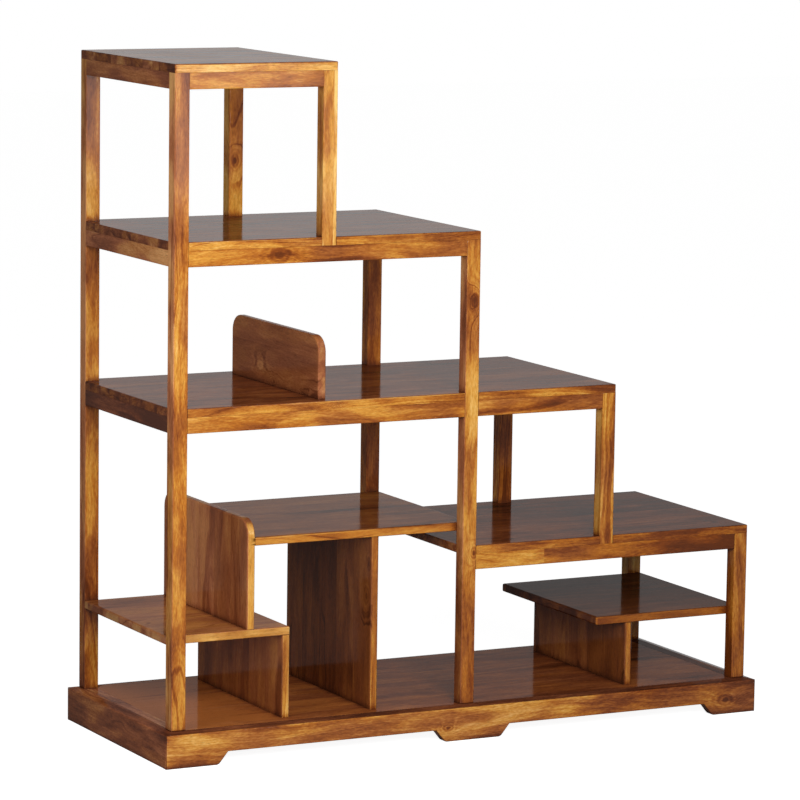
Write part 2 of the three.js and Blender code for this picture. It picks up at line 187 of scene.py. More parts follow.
def cut_planes(name, neighbours):
    """Planes where a neighbour starts or ends part of the way along this piece."""
    low, high = blocks[name]
    planes = set()
    for axis in range(3):
        known = [low[axis], high[axis]]
        for other in neighbours:
            for corner in blocks[other]:
                if all(abs(corner[axis] - k) > LEAST_CUT for k in known):
                    if low[axis] < corner[axis] < high[axis]:
                        known.append(corner[axis])
                        planes.add((axis, corner[axis]))
    return planes


def covered_sides(edge, neighbours):
    """How many of the two faces at an edge lie against a neighbour there."""
    middle = (edge.verts[0].co + edge.verts[1].co) / 2
    line = (edge.verts[1].co - edge.verts[0].co).normalized()
    covered = 0
    for face, other in (edge.link_faces, reversed(edge.link_faces)):
        inward = face.normal.cross(line)
        if inward.dot(other.normal) > 0:
            inward.negate()
        probe = middle + face.normal * PROBE_OUT + inward * PROBE_IN
        covered += any(inside(probe, n) for n in neighbours)
    return covered


def ease_share(edge, neighbours):
    """How much of the full rounding an edge gets: all of it in the open, a trace in a flush
    joint, and none inside a joint or in a corner. The sharp tip of a mitre counts as open."""
    if len(edge.link_faces) != 2 or not edge.is_convex:
        return 0.0
    angle = edge.calc_face_angle()
    if angle < SHARP_ANGLE:
        return 0.0
    covered = covered_sides(edge, neighbours)
    if covered == 1 and angle > MITRE_ANGLE:
        covered = 0
    return (1.0, SEAM_SHARE, 0.0)[covered]


def line_of(edge):
    """The line along an axis that an edge lies on, with nothing where the line runs."""
    start, end = (vert.co for vert in edge.verts)
    return tuple(round(a, DIGITS) if abs(a - b) < SAME_PLACE else None for a, b in zip(start, end))


def is_facet_rim(edge):
    """Whether an edge is short and lies aslant in plan, as the rim of a rounded corner's facet."""
    return edge.calc_length() < EASE and line_of(edge)[:2] == (None, None)


def ease_shares(name, shape, neighbours):
    """The rounding of each edge. The rims of facets have none, because it would be wider than they
    are long. On a board with a rounded corner, a line that is open somewhere has no trace in a
    joint, because a width that changes beside the arc folds over."""
    shares = {edge: ease_share(edge, neighbours) for edge in shape.edges}
    for edge in shares:
        if is_facet_rim(edge):
            shares[edge] = 0.0
    if "divider" not in name:
        return shares
    opened = {line_of(edge) for edge, share in shares.items() if share == 1.0}
    for edge, share in shares.items():
        if share < 1.0 and line_of(edge) in opened:
            shares[edge] = 0.0
    return shares


def bridges(shape):
    """The slanting edges on flat sides that join a pin's foot to the rim."""
    flat = [edge for edge in shape.edges if edge.calc_face_angle(1) < FLAT_ANGLE]
    return [edge for edge in flat if line_of(edge).count(None) > 1]


def bridge_planes(shape):
    """Planes through the pins at the ends of the bridges, which let the bridges go."""
    planes = set()
    for edge in bridges(shape):
        start, end = (vert.co for vert in edge.verts)
        axis = max(range(3), key=lambda i: abs(end[i] - start[i]))
        planes.update((axis, round(place[axis], FINE_DIGITS)) for place in (start, end))
    return planes


def cut(shape, place, normal, **options):
    """Cuts a shape at a plane, and returns the new edges."""
    everything = [*shape.verts, *shape.edges, *shape.faces]
    result = bmesh.ops.bisect_plane(
        shape, geom=everything, dist=SAME_PLACE, plane_co=place, plane_no=normal, **options
    )
    return [part for part in result["geom_cut"] if isinstance(part, bmesh.types.BMEdge)]


def round_plinth_corners(shape):
    """Takes the upright corners of the plinth off a skirt, facet by facet."""
    low, high = cad_box
    for across, side in ((-1, low.x), (1, high.x)):
        for deep, end in ((-1, low.y), (1, high.y)):
            centre = Vector((side - across * CORNER_RADIUS, end - deep * CORNER_RADIUS, 0))
            for turn in CORNER_CUTS:
                normal = Vector((across * math.cos(turn), deep * math.sin(turn), 0))
                rim = cut(shape, centre + normal * CORNER_RADIUS, normal, clear_outer=True)
                if rim:
                    bmesh.ops.edgeloop_fill(shape, edges=rim)


def cleaned(name):
    """The shape of a node with flat sides in one face each."""
    shape = bmesh.new()
    shape.from_mesh(solids[name])
    bmesh.ops.remove_doubles(shape, verts=shape.verts, dist=SAME_PLACE)
    bmesh.ops.dissolve_limit(
        shape, angle_limit=ONE_SIDE_ANGLE, verts=shape.verts, edges=shape.edges
    )
    return shape


def shade_planes(name):
    """Planes across a piece where one length of wood or one stretch of its shade ends."""
    low, high = blocks[name]
    along = grain_axes(name)[0]
    planes = {(along, joint * MM) for joint in JOINTS.get(name, [])}
    for share, *_ in SHADES.get(name, PLAIN_SHADE) + LEFT_SIDE_PAINTED_SHADES.get(name, PLAIN_SHADE):
        if 0 < share < 1:
            planes.add((along, low[along] + share * (high[along] - low[along])))
    return planes


def divide(shape, name, neighbours):
    """Cuts the sides of a piece where something changes, and lets the bridges go. A block keeps
    its bridges, which lead to the bore of its screw."""
    low, high = blocks[name]
    planes = cut_planes(name, neighbours) | shade_planes(name)
    if "block" not in name:
        planes.update(
            (axis, value) for axis, value in bridge_planes(shape)
            if low[axis] + LEAST_CUT < value < high[axis] - LEAST_CUT
        )
    for axis, value in sorted(planes):
        cut(shape, unit(axis) * value, unit(axis))
    shape.normal_update()
    if "block" not in name:
        bmesh.ops.dissolve_edges(shape, edges=bridges(shape), use_verts=True)
    shape.normal_update()


def mark_edges(shape, name, neighbours):
    """Stores how much each edge is rounded and which edges stay sharp."""
    weight = shape.edges.layers.float.new("bevel_weight_edge")
    for edge, share in ease_shares(name, shape, neighbours).items():
        edge[weight] = share
        edge.smooth = edge[weight] > 0 or edge.calc_face_angle(0) < SHARP_ANGLE
    for face in shape.faces:
        face.smooth = True


def rounded(mesh, name, ease):
    """A mesh with the marked edges rounded and the flat sides lit as flat ones."""
    blank = bpy.data.objects.new(name + "_blank", mesh)
    bpy.context.scene.collection.objects.link(blank)
    bevel = blank.modifiers.new("ease", "BEVEL")
    bevel.limit_method = "WEIGHT"
    bevel.width = ease
    bevel.segments = EASE_SEGMENTS
    bevel.use_clamp_overlap = False
    bevel.face_strength_mode = "FSTR_ALL"
    flat = blank.modifiers.new("flat", "WEIGHTED_NORMAL")
    flat.mode = "FACE_AREA"
    flat.weight = FLAT_WEIGHT
    flat.keep_sharp = True
    flat.use_face_influence = True
    bpy.context.view_layer.update()
    graph = bpy.context.evaluated_depsgraph_get()
    final = bpy.data.meshes.new_from_object(blank.evaluated_get(graph))
    bpy.data.objects.remove(blank)
    return final


def eased(name, ease):
    """A new object with the shape of a node and rounded edges."""
    neighbours = near(name)
    shape = cleaned(name)
    if "skirt" in name:
        round_plinth_corners(shape)
    divide(shape, name, neighbours)
    mark_edges(shape, name, neighbours)
    mesh = bpy.data.meshes.new(name + "_blank")
    shape.to_mesh(mesh)
    shape.free()
    piece = bpy.data.objects.new(name + "_wood", rounded(mesh, name, ease))
    bpy.context.scene.collection.objects.link(piece)
    return piece


# Wood coordinates

# How much darker and redder than their wood pieces are, as marks with a share of their length, a
# darkness and a redness. The marks are partly the wood's own tone and partly painted shade and
# light: darker towards the right, where less light falls, and paler where more falls. Two marks
# close together at a board's left end colour only the end.
SHADES = {
    "top_board": [(0, 0.12, 0.6), (0.014, -0.1, 0.0), (1, -0.1, 0.0)],
    "top_front_rail": [(0, 0.02, 0.15), (1, -0.04, 0.0)],
    "top_left_rail": [(0, 0.14, 0.8)],
    "second_board": [(0, 0.08, 0.6), (0.0075, 0.0, 0.0), (1, 0.0, 0.0)],
    "second_front_rail": [(0, 0.1, 0.0), (0.3, 0.08, 0.0), (1, -0.03, 0.0)],
    "second_left_rail": [(0, -0.16, 0.7)],
    "third_board": [(0, 0.3, 0.6), (0.005, 0.0, 0.0), (1, 0.12, 0.0)],
    "third_front_rail_left": [(0, 0.1, 0.2), (0.3, 0.16, 0.0), (1, 0.14, -0.1)],
    "third_front_rail_right": [(0, 0.04, 0.1), (1, 0.1, 0.1)],
    "third_left_rail": [(0, 0.36, 1.0)],
    "low_board": [(0, 0.1, 0.0), (1, 0.2, 0.0)],
    "low_front_rail": [(0, 0.06, 0.0), (0.5, 0.08, 0.0), (1, 0.38, 0.0)],
    "middle_shelf": [(0, 0.0, -0.1)],
    "middle_support": [(0, 0.05, -0.02)],
    "lower_left_shelf": [(0, -0.12, 0.1)],
    "lower_left_support": [(0, -0.02, 0.1)],
    "lower_right_shelf": [(0, 0.24, 0.0)],
    "lower_right_support": [(0, 0.06, 0.0)],
    "upper_divider": [(0, 0.02, 0.5)],
    "lower_divider": [(0, -0.12, 0.6)],
    "plinth_panel": [(0, -0.4, -0.4), (0.4, 0.0, -0.15), (1, 0.1, 0.0)],
    "plinth_left_batten": [(0, -0.15, 0.8)],
    "plinth_right_batten": [(0, 0.34, 1.0)],
    "plinth_front_skirt": [(0, -0.1, 0.1), (0.5, -0.1, 0.15), (0.8, -0.01, 0.0), (1, 0.08, 0.4)],
    "plinth_left_skirt": [(0, 0.16, 0.8)],
    "post_front_left": [(0, 0.14, 0.0), (0.3, 0.24, 0.0), (0.7, 0.08, 0.0), (1, 0.14, 0.3)],
    "post_back_left": [(0, 0.08, 0.1), (0.5, 0.02, 0.0), (0.82, 0.04, 0.1), (1, 0.2, 0.1)],
    "post_front_upper": [(0, -0.14, 0.0)],
    "post_back_upper": [(0, -0.02, 0.0)],
    "post_front_middle": [(0, 0.22, 0.1), (0.4, 0.04, 0.0), (0.7, -0.1, 0.0), (1, 0.02, 0.0)],
    "post_back_middle": [(0, 0.16, 0.2)],
    "post_front_lower": [(0, -0.06, 0.0)],
    "post_back_lower": [(0, 0.18, 0.2)],
    "post_front_right": [(0, 0.04, 0.05)],
}
PLAIN_SHADE = [(0, 0.0, 0.0)]

# Painted shade on the left faces of posts, on top of that: darker or paler and redder as light
# falls on them at each height, and their lacquer this much duller, which darkens them further
LEFT_SIDE_PAINTED_SHADES = {
    "post_front_left": [
        (0, -0.18, 1.4), (0.25, 0.03, 1.2), (0.4, -0.12, 1.2), (0.57, -0.27, 2.0), (0.82, -0.13, 1.8),
        (1, -0.28, 1.0),
    ],
    "post_back_left": [
        (0, 0.07, 1.8), (0.23, -0.2, 1.8), (0.36, -0.14, 2.4), (0.58, -0.32, 2.5),
        (0.8, -0.25, 2.2), (1, -0.32, 1.0),
    ],
    "post_front_middle": [
        (0, -0.2, 1.0), (0.24, -0.07, 1.3), (0.52, -0.14, 2.0), (0.76, -0.06, 2.2), (1, -0.11, 1.8),
    ],
}
LEFT_SIDE_SHADE_DULLNESS = 0.28

# Knots, as place and radius in millimetres in the frame, and how much darker they are, or paler
# below zero
KNOTS = {
    "second_front_rail": [((-376, -202, 874), 10, 0.3), ((-4, -202, 883), 5, 0.3)],
    "third_front_rail_left": [((-536, -202, 613), 5, 0.3)],
    "low_front_rail": [((540, -202, 333), 6, 0.3)],
    "post_front_middle": [((2, -202, 781), 6, 0.4), ((8, -202, 332), 5, 0.3)],
    "post_back_upper": [((-285, 178, 1002), 6, 0.3)],
    "plinth_front_skirt": [((-46, -218, 25), 5, 0.25), ((525, -218, 26), 8, 0.15)],
    "upper_divider": [
        ((-288, 58, 648), 9, -0.4), ((-288, 0, 626), 6, 0.25), ((-288, -170, 616), 26, -0.3),
    ],
    "middle_support": [((-182, -160, 262), 8, 0.25), ((-182, -168, 320), 6, 0.25)],
}

# A knot out of reach, for pieces with fewer knots than there are layers for them
FAR_KNOT = ((9000, 9000, 9000), 5, 0.0)
KNOT_LAYERS = ("knot_a", "knot_b", "knot_c")

# Pieces whose top edges look like their faces
DARK_TOPPED = {"upper_divider", "plinth_left_skirt"}

# Where two lengths of wood meet end to end, in millimetres along the piece in the frame
JOINTS = {
    "post_back_left": [611],
    "low_front_rail": [150],
}

# Boards are glued from staves of this width. Each piece is cut at random from a store of wood of
# this length, this many staves and this thickness.
STAVE_WIDTH = 68 * MM
STORE_LENGTH = 40
STORE_STAVES = 600
STORE_THICKNESS = 1
randomness = random.Random(11)


def shade_at(marks, share):
    """Darkness and redness at a share of a piece's length, between those that are given."""
    before = max((mark for mark in marks if mark[0] <= share), default=marks[0])
    after = min((mark for mark in marks if mark[0] > share), default=before)
    part = (share - before[0]) / (after[0] - before[0]) if after is not before else 0.0
    return [a + (b - a) * part for a, b in zip(before[1:], after[1:])]


def corner_shades(mesh, name, shares):
    """Darkness and redness at each corner of each face, from how far along the piece its points
    lie and, as painted shade, how much the face looks to the left."""
    plain = [shade_at(SHADES.get(name, PLAIN_SHADE), share) for share in shares]
    left = [shade_at(LEFT_SIDE_PAINTED_SHADES.get(name, PLAIN_SHADE), share) for share in shares]
    shades = []
    for face in mesh.polygons:
        # Painted shade: the more a face looks to the left, the more of the left-side marks it takes
        facing = max(0.0, -face.normal.x)
        for i in face.vertices:
            shades.append([a + facing * b for a, b in zip(plain[i], left[i])])
    return shades


def wood_frame(name):
    """The turn from the frame to the piece's wood, with x along the grain, y across it and z
    through the thickness, and where the piece starts in it."""
    turn = Matrix([unit(axis) for axis in grain_axes(name)])
    return turn, turn @ blocks[name][0]


def knot_reaches(name, places, turn, start):
    """How each point lies from each knot, in radiuses of the knot, and how dark the knot is."""
    reaches = {}
    own_knots = KNOTS.get(name, []) + [FAR_KNOT] * len(KNOT_LAYERS)
    for layer, (middle, radius, depth) in zip(KNOT_LAYERS, own_knots):
        centre = turn @ (Vector(middle) * MM) - start
        steps = [(place - centre) / (radius * MM) for place in places]
        reaches[layer] = [(step.x, step.y, depth) for step in steps]
    return reaches


def face_layers(mesh, name):
    """For each face its length of wood, how far it is end grain or an edge, and its dullness, which
    on the left faces of posts is painted shade.
    """
    along, _, through = grain_axes(name)
    joints = [joint * MM for joint in JOINTS.get(name, [])]
    dark_top = float(name in DARK_TOPPED)
    left_side_shade_dullness = LEFT_SIDE_SHADE_DULLNESS if name in LEFT_SIDE_PAINTED_SHADES else 0.0
    layers = {"length": [], "end_grain": [], "edge": [], "dullness": []}
    for face in mesh.polygons:
        normal = face.normal
        layers["length"].append(float(sum(face.center[along] > joint for joint in joints)))
        layers["end_grain"].append(abs(normal[along]))
        layers["edge"].append((1 - abs(normal[through])) * (1 - dark_top * abs(normal.z)))
        # On the left faces of posts the dullness is painted shade
        layers["dullness"].append(max(0.0, -normal.z, -normal.x * left_side_shade_dullness))
    return layers


def store(mesh, domain, layers):
    """Keeps lists of numbers with a mesh, one number for each corner or face."""
    for layer, values in layers.items():
        attribute = mesh.attributes.new(layer, "FLOAT", domain)
        attribute.data.foreach_set("value", values)


def random_place():
    """Where in the store of wood a piece is cut."""
    return Vector((
        randomness.uniform(0, STORE_LENGTH),
        STAVE_WIDTH * randomness.randrange(STORE_STAVES),
        randomness.uniform(0, STORE_THICKNESS),
    ))


def add_wood_coordinates(piece, name):
    """Stores where each point lies in a piece of wood of its own and how it lies from the
    knots, how dark and red each corner is, and how each face lies."""
    mesh = piece.data
    turn, start = wood_frame(name)
    shift = random_place()
    places = [turn @ v.co - start for v in mesh.vertices]
    reach = max(place.x for place in places)
    shares = [min(max(place.x / reach, 0.0), 1.0) for place in places]
    tones, russets = zip(*corner_shades(mesh, name, shares))
    store(mesh, "CORNER", {"tone": tones, "russet": russets})
    points = {"grain": [place + shift for place in places]}
    points.update(knot_reaches(name, places, turn, start))
    for layer, vectors in points.items():
        attribute = mesh.attributes.new(layer, "FLOAT_VECTOR", "POINT")
        attribute.data.foreach_set("vector", [x for vector in vectors for x in vector])
    store(mesh, "FACE", face_layers(mesh, name))


# Materials

class Tree:
    """Adds and links the nodes of one material or of the world."""

    def __init__(self, owner):
        owner.use_nodes = True
        self.owner = owner
        self.nodes = owner.node_tree.nodes
        self.links = owner.node_tree.links
        self.nodes.clear()

    def put(self, socket, value):
        if isinstance(value, bpy.types.NodeSocket):
            self.links.new(value, socket)
        else:
            socket.default_value = value

    def add(self, kind, inputs=(), **settings):
        node = self.nodes.new("ShaderNode" + kind)
        for key, value in settings.items():
            setattr(node, key, value)
        for socket, value in dict(inputs).items():
            self.put(node.inputs[socket], value)
        return node

    def math(self, operation, *values):
        return self.add("Math", enumerate(values), operation=operation).outputs[0]

    def plus(self, total, *values):
        for value in values:
            total = self.math("ADD", total, value)
        return total

    def minus(self, value, less):
        return self.math("SUBTRACT", value, less)

    def times(self, value, factor):
        return self.math("MULTIPLY", value, factor)

    def vector(self, operation, *values):
        return self.add("VectorMath", enumerate(values), operation=operation).outputs[0]

    def size(self, vector):
        return self.add("VectorMath", {0: vector}, operation="LENGTH").outputs["Value"]

    def stored(self, name):
        """A number that the mesh keeps for its corners or faces."""
        return self.add("Attribute", attribute_name=name).outputs["Fac"]

    def stored_vector(self, name):
        return self.add("Attribute", attribute_name=name).outputs["Vector"]

    def split(self, vector):
        return self.add("SeparateXYZ", {0: vector}).outputs

    def join(self, x, y, z):
        return self.add("CombineXYZ", {0: x, 1: y, 2: z}).outputs[0]

    def noise(self, where, cells, detail=2.0, roughness=0.5):
        """Noise from 0 to 1 with its own count of cells per metre in each direction."""
        place = self.vector("MULTIPLY", where, Vector(cells))
        inputs = {"Vector": place, "Scale": 1.0, "Detail": detail, "Roughness": roughness}
        return self.add("TexNoise", inputs).outputs[0]

    def noise_vector(self, where, cells):
        place = self.vector("MULTIPLY", where, Vector(cells))
        inputs = {"Vector": place, "Scale": 1.0, "Detail": 1.0}
        return self.add("TexNoise", inputs).outputs[1]

    def noise_line(self, value, cells, detail=2.0, roughness=0.5):
        """Noise from 0 to 1 along one number."""
        inputs = {"W": value, "Scale": cells, "Detail": detail, "Roughness": roughness}
        return self.add("TexNoise", inputs, noise_dimensions="1D").outputs[0]

    def spread(self, value, low, high, start=0.0, end=1.0):
        """Maps low..high smoothly to start..end and stops there."""
        inputs = {0: value, 1: low, 2: high, 3: start, 4: end}
        return self.add("MapRange", inputs, interpolation_type="SMOOTHSTEP").outputs[0]

    def ramp(self, value, stops):
        node = self.add("ValToRGB", {0: value})
        elements = node.color_ramp.elements
        while len(elements) < len(stops):
            elements.new(0.5)
        for element, (place, colour) in zip(elements, stops):
            element.position = place
            element.color = (*colour, 1)
        return node.outputs[0]

    def blend(self, share, first, second, mode="MIX"):
        inputs = {0: share, 6: first, 7: second}
        return self.add("Mix", inputs, data_type="RGBA", blend_type=mode).outputs[2]

    def brighten(self, colour, factor):
        return self.blend(1.0, colour, self.join(factor, factor, factor), "MULTIPLY")

    def finish(self, shader):
        self.add("OutputMaterial", {0: shader})
        return self.owner


def new_material(name):
    return Tree(bpy.data.materials.new(name))


def linear(red, green, blue):
    """A colour given in 0 to 255 as seen, as the light that it sends back."""
    def channel(value):
        value /= 255
        return value / 12.92 if value <= 0.04045 else ((value + 0.055) / 1.055) ** 2.4
    return channel(red), channel(green), channel(blue)


# Palettes from pale sapwood to the darkest streak, as places from 0 to 1 and colours as seen
AMBER = [(0.05, (236, 192, 112)), (0.28, (208, 147, 60)), (0.44, (177, 105, 34)),
         (0.62, (131, 65, 20)), (0.85, (84, 39, 14))]
RUSSET = [(0.05, (210, 144, 96)), (0.28, (172, 104, 66)), (0.44, (140, 79, 48)),
          (0.62, (106, 56, 34)), (0.85, (68, 35, 24))]
BROWN = [(0.05, (200, 134, 66)), (0.28, (162, 99, 49)), (0.44, (133, 75, 36)),
         (0.62, (98, 52, 26)), (0.85, (56, 31, 17))]
# DARK, on the broad faces of boards, is partly their darker wood and partly painted shade: the tops
# darker than their amber edges, as little light falls from above
DARK = [(0.05, (172, 102, 50)), (0.28, (140, 77, 38)), (0.44, (116, 59, 30)),
        (0.62, (88, 43, 22)), (0.85, (48, 24, 13))]
RAW = [(0.0, (222, 190, 146)), (0.3, (210, 174, 128)), (0.5, (196, 156, 108)),
       (0.7, (176, 134, 90)), (0.9, (140, 100, 66))]

# The place that plain wood has in a palette, how far staves differ, and the last place in use
MIDDLE_SHADE = 0.38
STAVE_SPREAD = 0.22
DARKEST = 0.78

# A trunk's heart lies at most so far to a side of the stave's middle and so far below the store.
# The trunk has long and short bends, with cells per metre along, across and through the wood and a
# depth each. The last number is how far apart the noise of two staves can be.
HEART_ACROSS = 60 * MM
HEART_BELOW = (20 * MM, 100 * MM)
TRUNK_BENDS = (((2.2, 9, 9), 85 * MM), ((10, 40, 40), 12 * MM))
BEND_DETAIL = 1.5
TRUNKS_APART = 13

# Cells per metre of the parts of the figure, and their weights
HEARTWOOD_BANDS, HEARTWOOD_WEIGHT = 55, 0.3
GROWTH_LINES, GROWTH_WEIGHT = 300, 0.24
PATCHES, PATCH_WEIGHT = (6, 20, 20), 0.46
CLOUDS, CLOUD_WEIGHT = (9, 45, 45), 0.45
STREAKS, STREAK_WEIGHT = (5, 130, 130), 0.36
FLECKS, FLECK_WEIGHT = (110, 420, 420), 0.4

# Roughness of the noises with much fine detail, and the range of most of what a noise gives
ROUGH = 0.6
NOISE_RANGE = (0.3, 0.7)

# How clouds and streaks sway off the grain
SWAYS = (9, 26, 26)
SWAY_WIDTH = 30 * MM

# Thin dark veins follow the growth lines in places
VEINS = 34
VEIN_WIDTHS = (0.026, 0.004)
VEIN_PLACES = (4, 14, 14)
VEIN_PLACE_RANGE = (0.48, 0.62)
VEIN_DARK = 0.2

# The glue between two staves
GLUE_LINE = 0.5 * MM
GLUE_DARK = 0.12

# Clouds of redder and darker wood
MOTTLES = (7, 26, 26)
MOTTLE_RANGE = (0.36, 0.68)
MOTTLE_RED = 0.45
MOTTLE_DARK = 0.2

# A knot is longer than wide and ragged, bends the grain and has rings and a core. The fades say
# how fast each goes, by the square of the distance in radiuses.
KNOT_LENGTH_SCALE = 0.6
KNOT_RAGS = (110, 140, 140)
KNOT_RAG_DEPTH = 0.7
KNOT_BEND = 22 * MM
KNOT_BEND_FADE = 0.13
KNOT_RINGS = 7.0
KNOT_RING_DARK = 0.12
KNOT_RING_FADE = 0.3
KNOT_CORE_FADE = 1.1

# A face counts as end grain or as an edge from the first lean towards it on, and fully from the
# second. End grain is redder, differs from stave to stave and is a little dim.
END_GRAIN_RANGE = (0.6, 0.9)
END_GRAIN_RED = 0.7
END_GRAIN_SPREAD = 0.08
END_GRAIN_DIM = 0.2
EDGE_RANGE = (0.3, 0.8)

# Painted shade with some staining: this far from an inner corner, where less of the sky is open,
# the wood is made this much darker and redder
STAIN_AND_SHADE_REACH = 18 * MM
STAIN_AND_SHADE_RANGE = (0.3, 0.9)
STAIN_AND_SHADE_SAMPLES = 6
STAIN_AND_SHADE = 0.4

# Fine open pores, the fibres between them, and the roughness of the bare wood
WOOD_ROUGHNESS = 0.6
PORES = (90, 1300, 1300)
PORE_RANGE = (0.6, 0.7)
PORE_DARK = 0.35
FIBRES = (40, 700, 700)
FIBRE_STRENGTH = 0.1
FIBRE_HEIGHT = 0.3 * MM

# Shine of the lacquer by the angle of the look
FRONT_SHINE = 0.16
SIDE_SHINE = 0.09
DULL_SIDE_SHINE = 0.07
GLANCE_SHINE = 0.41
SIDE_LOOK_RANGE = (0.15, 0.5)
GLANCE_RANGE = (0.73, 0.94)

# The shine falls to its least share between these two values of a face's dullness
DULLNESS_RANGE = (0.1, 0.4)
LEAST_SHINE = 0.1
SMUDGES = (14, 26, 26)
LACQUER_ROUGHNESS = (0.07, 0.14)
LACQUER_INDEX = 1.5

# Zinc in small patches of darker and paler grey that differ in roughness too
ZINC_PATCHES = (900, 900, 900)
ZINC_GREYS = ((0.42, 0.43, 0.45), (0.66, 0.67, 0.68))
ZINC_ROUGHNESS = (0.28, 0.5)


def stops(palette):
    return [(place, linear(*colour)) for place, colour in palette]


def fade(tree, reach, rate):
    """One at a knot's heart, down to nothing away from it."""
    return tree.math("EXPONENT", tree.times(tree.times(reach, reach), -rate))


def weighed(tree, start, parts):
    """A number with shares of several noises added, each of them around zero."""
    return tree.plus(start, *(tree.times(tree.minus(noise, 0.5), share) for noise, share in parts))


def stave_luck(tree, grain, stave_width):
    """Three random numbers for each stave and length of wood, how far a point lies across from
    the stave's middle, and how near it is to the glue between two staves."""
    count = tree.math("DIVIDE", tree.split(grain)[1], stave_width)
    cell = tree.join(tree.stored("length"), tree.math("FLOOR", count), 0.0)
    luck = tree.add("TexWhiteNoise", {"Vector": cell}, noise_dimensions="3D").outputs[1]
    across = tree.times(tree.minus(tree.math("FRACT", count), 0.5), stave_width)
    edge = tree.minus(stave_width / 2, tree.math("ABSOLUTE", across))
    return luck, across, tree.spread(edge, GLUE_LINE, 0.0)


def trunk_radius(tree, own, across, z, luck):
    """Distance of each point from the heart of its trunk."""
    luck_a, luck_b, _ = tree.split(luck)
    heart_across = tree.spread(luck_a, 0, 1, -HEART_ACROSS, HEART_ACROSS)
    deep = tree.plus(tree.math("FRACT", z), tree.spread(luck_b, 0, 1, *HEART_BELOW))
    radius = tree.size(tree.join(0.0, tree.minus(across, heart_across), deep))
    for cells, depth in TRUNK_BENDS:
        radius = weighed(tree, radius, [(tree.noise(own, cells, BEND_DETAIL), depth)])
    return radius


def knots(tree, own, radius):
    """Bends the grain round the knots. Returns the radius and how much darker the knots are."""
    ragged = tree.minus(tree.noise(own, KNOT_RAGS), 0.5)
    dark = 0.0
    for layer in KNOT_LAYERS:
        x, y, depth = tree.split(tree.stored_vector(layer))
        reach = tree.size(tree.join(tree.times(x, KNOT_LENGTH_SCALE), y, 0.0))
        reach = tree.plus(reach, tree.times(ragged, KNOT_RAG_DEPTH))
        radius = tree.plus(radius, tree.times(fade(tree, reach, KNOT_BEND_FADE), KNOT_BEND))
        rings = tree.times(tree.math("SINE", tree.times(reach, KNOT_RINGS)), KNOT_RING_DARK)
        rings = tree.times(rings, fade(tree, reach, KNOT_RING_FADE))
        core = tree.times(fade(tree, reach, KNOT_CORE_FADE), depth)
        dark = tree.plus(dark, tree.plus(rings, core))
    return radius, dark


def swayed(tree, own):
    """The place in the wood, moved a little off the grain."""
    middle = Vector((0.5, 0.5, 0.5))
    sway = tree.vector("SUBTRACT", tree.noise_vector(own, SWAYS), middle)
    sway = tree.vector("MULTIPLY", sway, Vector((0, SWAY_WIDTH, SWAY_WIDTH)))
    return tree.vector("ADD", own, sway)


def figure_shade(tree, own, bent, radius):
    """How dark the broad bands of heartwood, growth lines, clouds, streaks and flecks are."""
    return weighed(tree, 0.0, [
        (tree.noise_line(radius, HEARTWOOD_BANDS, 2, ROUGH), HEARTWOOD_WEIGHT),
        (tree.noise_line(radius, GROWTH_LINES, 2, ROUGH), GROWTH_WEIGHT),
        (tree.noise(own, PATCHES), PATCH_WEIGHT),
        (tree.noise(bent, CLOUDS, 3, ROUGH), CLOUD_WEIGHT),
        (tree.noise(bent, STREAKS, 3, ROUGH), STREAK_WEIGHT),
        (tree.noise(own, FLECKS, 2, ROUGH), FLECK_WEIGHT),
    ])


def vein_shade(tree, own, radius):
    """How dark the veins are, which show only in places."""
    vein = tree.math("ABSOLUTE", tree.minus(tree.noise_line(radius, VEINS, 1), 0.5))
    here = tree.spread(tree.noise(own, VEIN_PLACES, 1), *VEIN_PLACE_RANGE)
    return tree.times(tree.times(tree.spread(vein, *VEIN_WIDTHS), here), VEIN_DARK)


def lacquer_weight(tree, side_shine):
    """How strongly the lacquer shines: full from the front, fainter from the side, more again
    at a glancing look along the paler boards, and hardly at all on dull faces."""
    facing = tree.add("LayerWeight", {"Blend": 0.5}).outputs["Facing"]
    front = tree.spread(facing, *SIDE_LOOK_RANGE, FRONT_SHINE, side_shine)
    glance = tree.spread(facing, *GLANCE_RANGE, 0.0, GLANCE_SHINE - side_shine)
    pale = tree.math("MINIMUM", tree.minus(1.0, tree.stored("tone")), 1.0)
    shine = tree.plus(front, tree.times(glance, pale))
    return tree.times(shine, tree.spread(tree.stored("dullness"), *DULLNESS_RANGE, 1.0, LEAST_SHINE))


def end_and_edge(tree):
    """How far a face is end grain, and how far it is an edge of a board."""
    ends = tree.spread(tree.stored("end_grain"), *END_GRAIN_RANGE)
    return ends, tree.spread(tree.stored("edge"), *EDGE_RANGE)


def stain_and_shade_in_corners(tree):
    """How much painted shade and staining a point has, from how much of the sky near pieces hide."""
    settings = {"Distance": STAIN_AND_SHADE_REACH}
    open_sky = tree.add("AmbientOcclusion", settings, samples=STAIN_AND_SHADE_SAMPLES).outputs["AO"]
    return tree.spread(open_sky, *STAIN_AND_SHADE_RANGE, STAIN_AND_SHADE, 0.0)


def wood_colour(tree, shade, russet, edge, palette, edge_palette, edge_pale):
    """The colour of a face, between that of plain wood and that of an edge, each with its share
    of russet."""
    red = tree.ramp(shade, stops(RUSSET))
    plain = tree.blend(russet, tree.ramp(shade, stops(palette)), red)
    edge_colour = tree.ramp(tree.minus(shade, edge_pale), stops(edge_palette))
    return tree.blend(edge, plain, tree.blend(russet, edge_colour, red))


